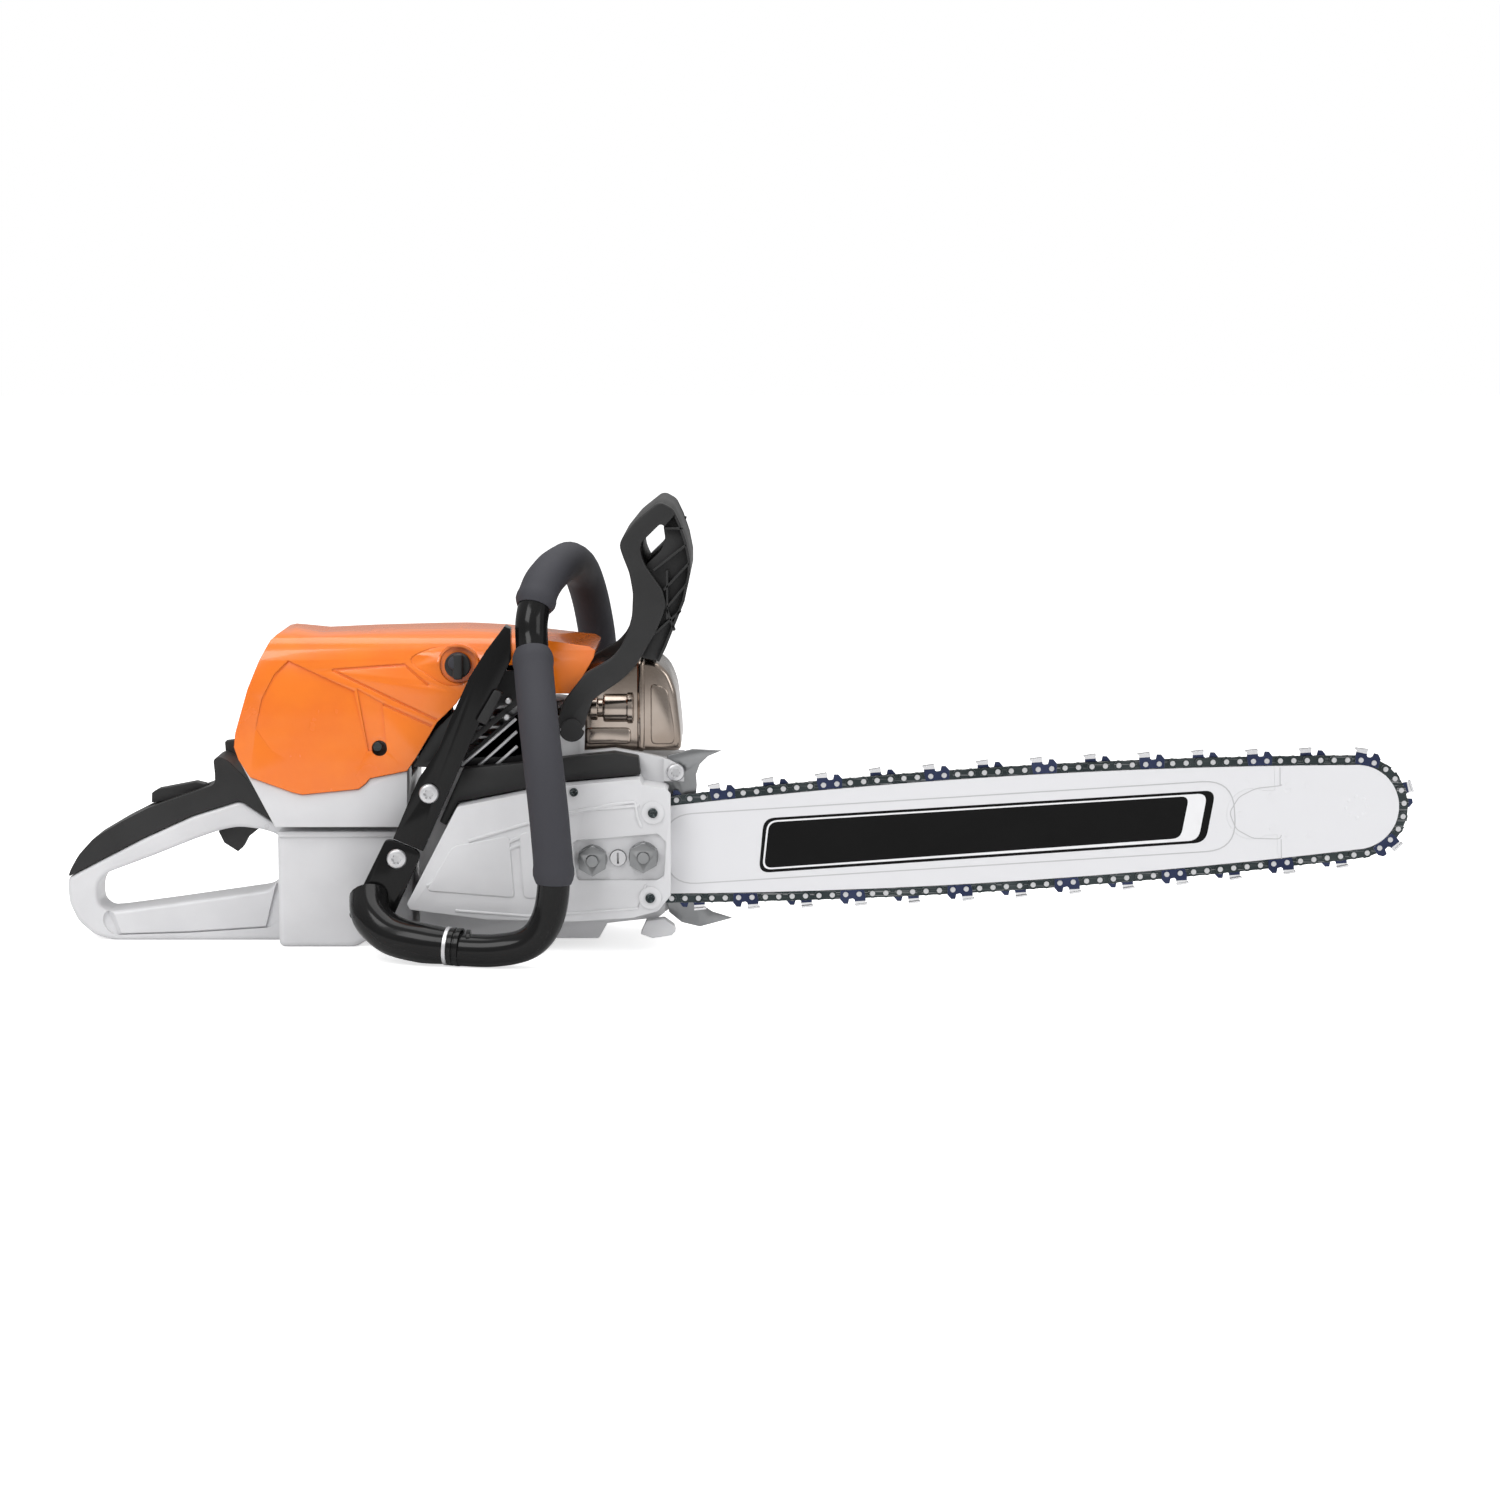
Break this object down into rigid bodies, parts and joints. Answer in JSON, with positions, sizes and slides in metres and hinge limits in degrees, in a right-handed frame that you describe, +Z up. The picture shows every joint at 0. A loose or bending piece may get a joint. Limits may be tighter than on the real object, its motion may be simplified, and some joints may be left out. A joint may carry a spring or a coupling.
{
  "type": "chainsaw",
  "caption": "Petrol chainsaw with rear handle, wrap-around front handle, hand guard, top cover and a long bar with its chain.",
  "frame": {"origin": "on the ground, in the middle of the saw's box", "axes": "+X forward to the nose of the bar, +Y to the operator's left, +Z up"},
  "size_m": [0.9646, 0.2628, 0.32],
  "materials": {
    "pale_plastic": "gloss",
    "pale_casting": "painted",
    "orange_plastic": "gloss",
    "black_plastic": "satin",
    "black_enamel": "gloss paint",
    "grip_rubber": "matte",
    "bright_steel": "satin",
    "dark_steel": "oiled",
    "blue_steel": "blued",
    "bronze_plate": "polished",
    "raw_alloy": "cast",
    "bar_coat": "satin paint",
    "filter_cloth": "pleated",
    "white_ceramic": "glazed"
  },
  "bodies": {
    "saw": {"tank_housing": "pale_plastic", "handle_moulding": "black_plastic", "pivot_pins": "bright_steel", "airbox_base": "pale_plastic", "top_cover": "orange_plastic", "cover_locks_seat": "black_plastic", "air_filter": "filter_cloth", "carburettor": "raw_alloy", "intake_boot": "grip_rubber", "engine_cylinder": "raw_alloy", "spark_plug": "white_ceramic", "plug_cap": "black_plastic", "ignition_lead": "grip_rubber", "ignition_coil": "black_plastic", "crank_bearings": "bright_steel", "brake_band": "bright_steel", "oil_pump": "dark_steel", "crankcase": "pale_casting", "side_grille": "black_plastic", "side_plate": "black_plastic", "muffler": "bronze_plate", "sprocket_cover": "pale_plastic", "bar_studs": "bright_steel", "bar_nuts": "bright_steel", "tensioner_slide": "dark_steel", "guide_bar": "bar_coat", "bar_nose": "bar_coat", "drive_links": "dark_steel", "tie_straps": "dark_steel", "cutters": "blue_steel", "chain_rivets": "bright_steel", "bumper_spike": "bright_steel", "chain_catcher": "pale_plastic", "handle_tube": "black_enamel", "grip_sleeves": "grip_rubber", "handle_strap": "black_enamel", "handle_bracket": "black_enamel", "fan_housing": "pale_plastic", "torx_screws": "bright_steel"},
    "trigger": {"throttle_trigger": "black_plastic"},
    "lockout": {"throttle_lockout": "black_plastic"},
    "control": {"control_lever": "black_plastic"},
    "lock_right": {"cover_lock_right": "black_plastic"},
    "lock_left": {"cover_lock_left": "black_plastic"},
    "piston_group": {"piston": "raw_alloy", "connecting_rod": "dark_steel", "crank_pin": "bright_steel"},
    "crank_group": {"crankshaft": "dark_steel", "flywheel": "raw_alloy", "clutch_hub": "dark_steel", "clutch_shoes": "dark_steel"},
    "drum": {"clutch_drum": "dark_steel"},
    "nose_wheel": {"nose_sprocket": "bright_steel"},
    "tensioner": {"tensioner_screw": "bright_steel"},
    "guard": {"hand_guard": "black_plastic"},
    "pulley": {"starter_pulley": "black_plastic"},
    "starter_handle": {"starter_grip": "black_plastic", "starter_rope": "grip_rubber"},
    "fuel_lid": {"fuel_cap": "black_plastic"},
    "oil_lid": {"oil_cap": "black_plastic"}
  },
  "joints": [
    {"name": "throttle_trigger_pull", "type": "hinge", "parent": "saw", "child": "trigger", "pos_m": [-0.34528, 0.017, 0.09], "axis": [0, 1, 0], "range_deg": [0, 18], "stiffness_Nm_per_rad": 0.15, "springref_deg": -14.32},
    {"name": "throttle_lockout_press", "type": "hinge", "parent": "saw", "child": "lockout", "pos_m": [-0.38628, 0.017, 0.107], "axis": [0, -1, 0], "range_deg": [0, 8], "stiffness_Nm_per_rad": 0.15, "springref_deg": -14.32},
    {"name": "control_lever_tilt", "type": "hinge", "parent": "saw", "child": "control", "pos_m": [-0.36528, 0.037, 0.119], "axis": [0, 1, 0], "range_deg": [-12, 12]},
    {"name": "cover_lock_right_turn", "type": "hinge", "parent": "saw", "child": "lock_right", "pos_m": [-0.19428, -0.043, 0.204], "axis": [0, -1, 0], "range_deg": [0, 90]},
    {"name": "cover_lock_left_turn", "type": "hinge", "parent": "saw", "child": "lock_left", "pos_m": [-0.19428, 0.077, 0.204], "axis": [0, 1, 0], "range_deg": [0, 90]},
    {"name": "piston_travel", "type": "slide", "parent": "saw", "child": "piston_group", "axis": [0, 0, 1], "range_m": [-0.036, 0]},
    {"name": "crank_spin", "type": "hinge", "parent": "saw", "child": "crank_group", "pos_m": [-0.15428, 0.017, 0.066], "axis": [0, 1, 0], "continuous": true},
    {"name": "clutch_drum_spin", "type": "hinge", "parent": "saw", "child": "drum", "pos_m": [-0.15428, -0.045, 0.066], "axis": [0, 1, 0], "continuous": true},
    {"name": "nose_sprocket_spin", "type": "hinge", "parent": "saw", "child": "nose_wheel", "pos_m": [0.44254, -0.045, 0.10355], "axis": [0, 1, 0], "continuous": true},
    {"name": "tensioner_spin", "type": "hinge", "parent": "saw", "child": "tensioner", "pos_m": [-0.08042, -0.063, 0.07065], "axis": [0, 1, 0], "continuous": true},
    {"name": "hand_guard_tilt", "type": "hinge", "parent": "saw", "child": "guard", "pos_m": [-0.11328, 0.017, 0.16], "axis": [0, 1, 0], "range_deg": [0, 14]},
    {"name": "starter_pull", "type": "slide", "parent": "saw", "child": "starter_handle", "axis": [0, 0, 1], "range_m": [0, 0.45], "stiffness_N_per_m": 12, "springref_m": -0.3, "deforming": ["starter_rope"]},
    {"name": "starter_pulley_turn", "type": "hinge", "parent": "saw", "child": "pulley", "pos_m": [-0.15428, 0.088, 0.066], "axis": [0, 1, 0], "range_deg": [0, 960]},
    {"name": "fuel_cap_turn", "type": "hinge", "parent": "saw", "child": "fuel_lid", "pos_m": [-0.28528, 0.068, 0.046], "axis": [0, 1, 0], "range_deg": [0, 180]},
    {"name": "oil_cap_turn", "type": "hinge", "parent": "saw", "child": "oil_lid", "pos_m": [-0.06928, 0.057, 0.046], "axis": [0, 1, 0], "range_deg": [0, 180]}
  ],
  "couplings": [
    {"joint": "starter_pulley_turn", "follows": "starter_pull", "rad_per_m": 37.037}
  ]
}
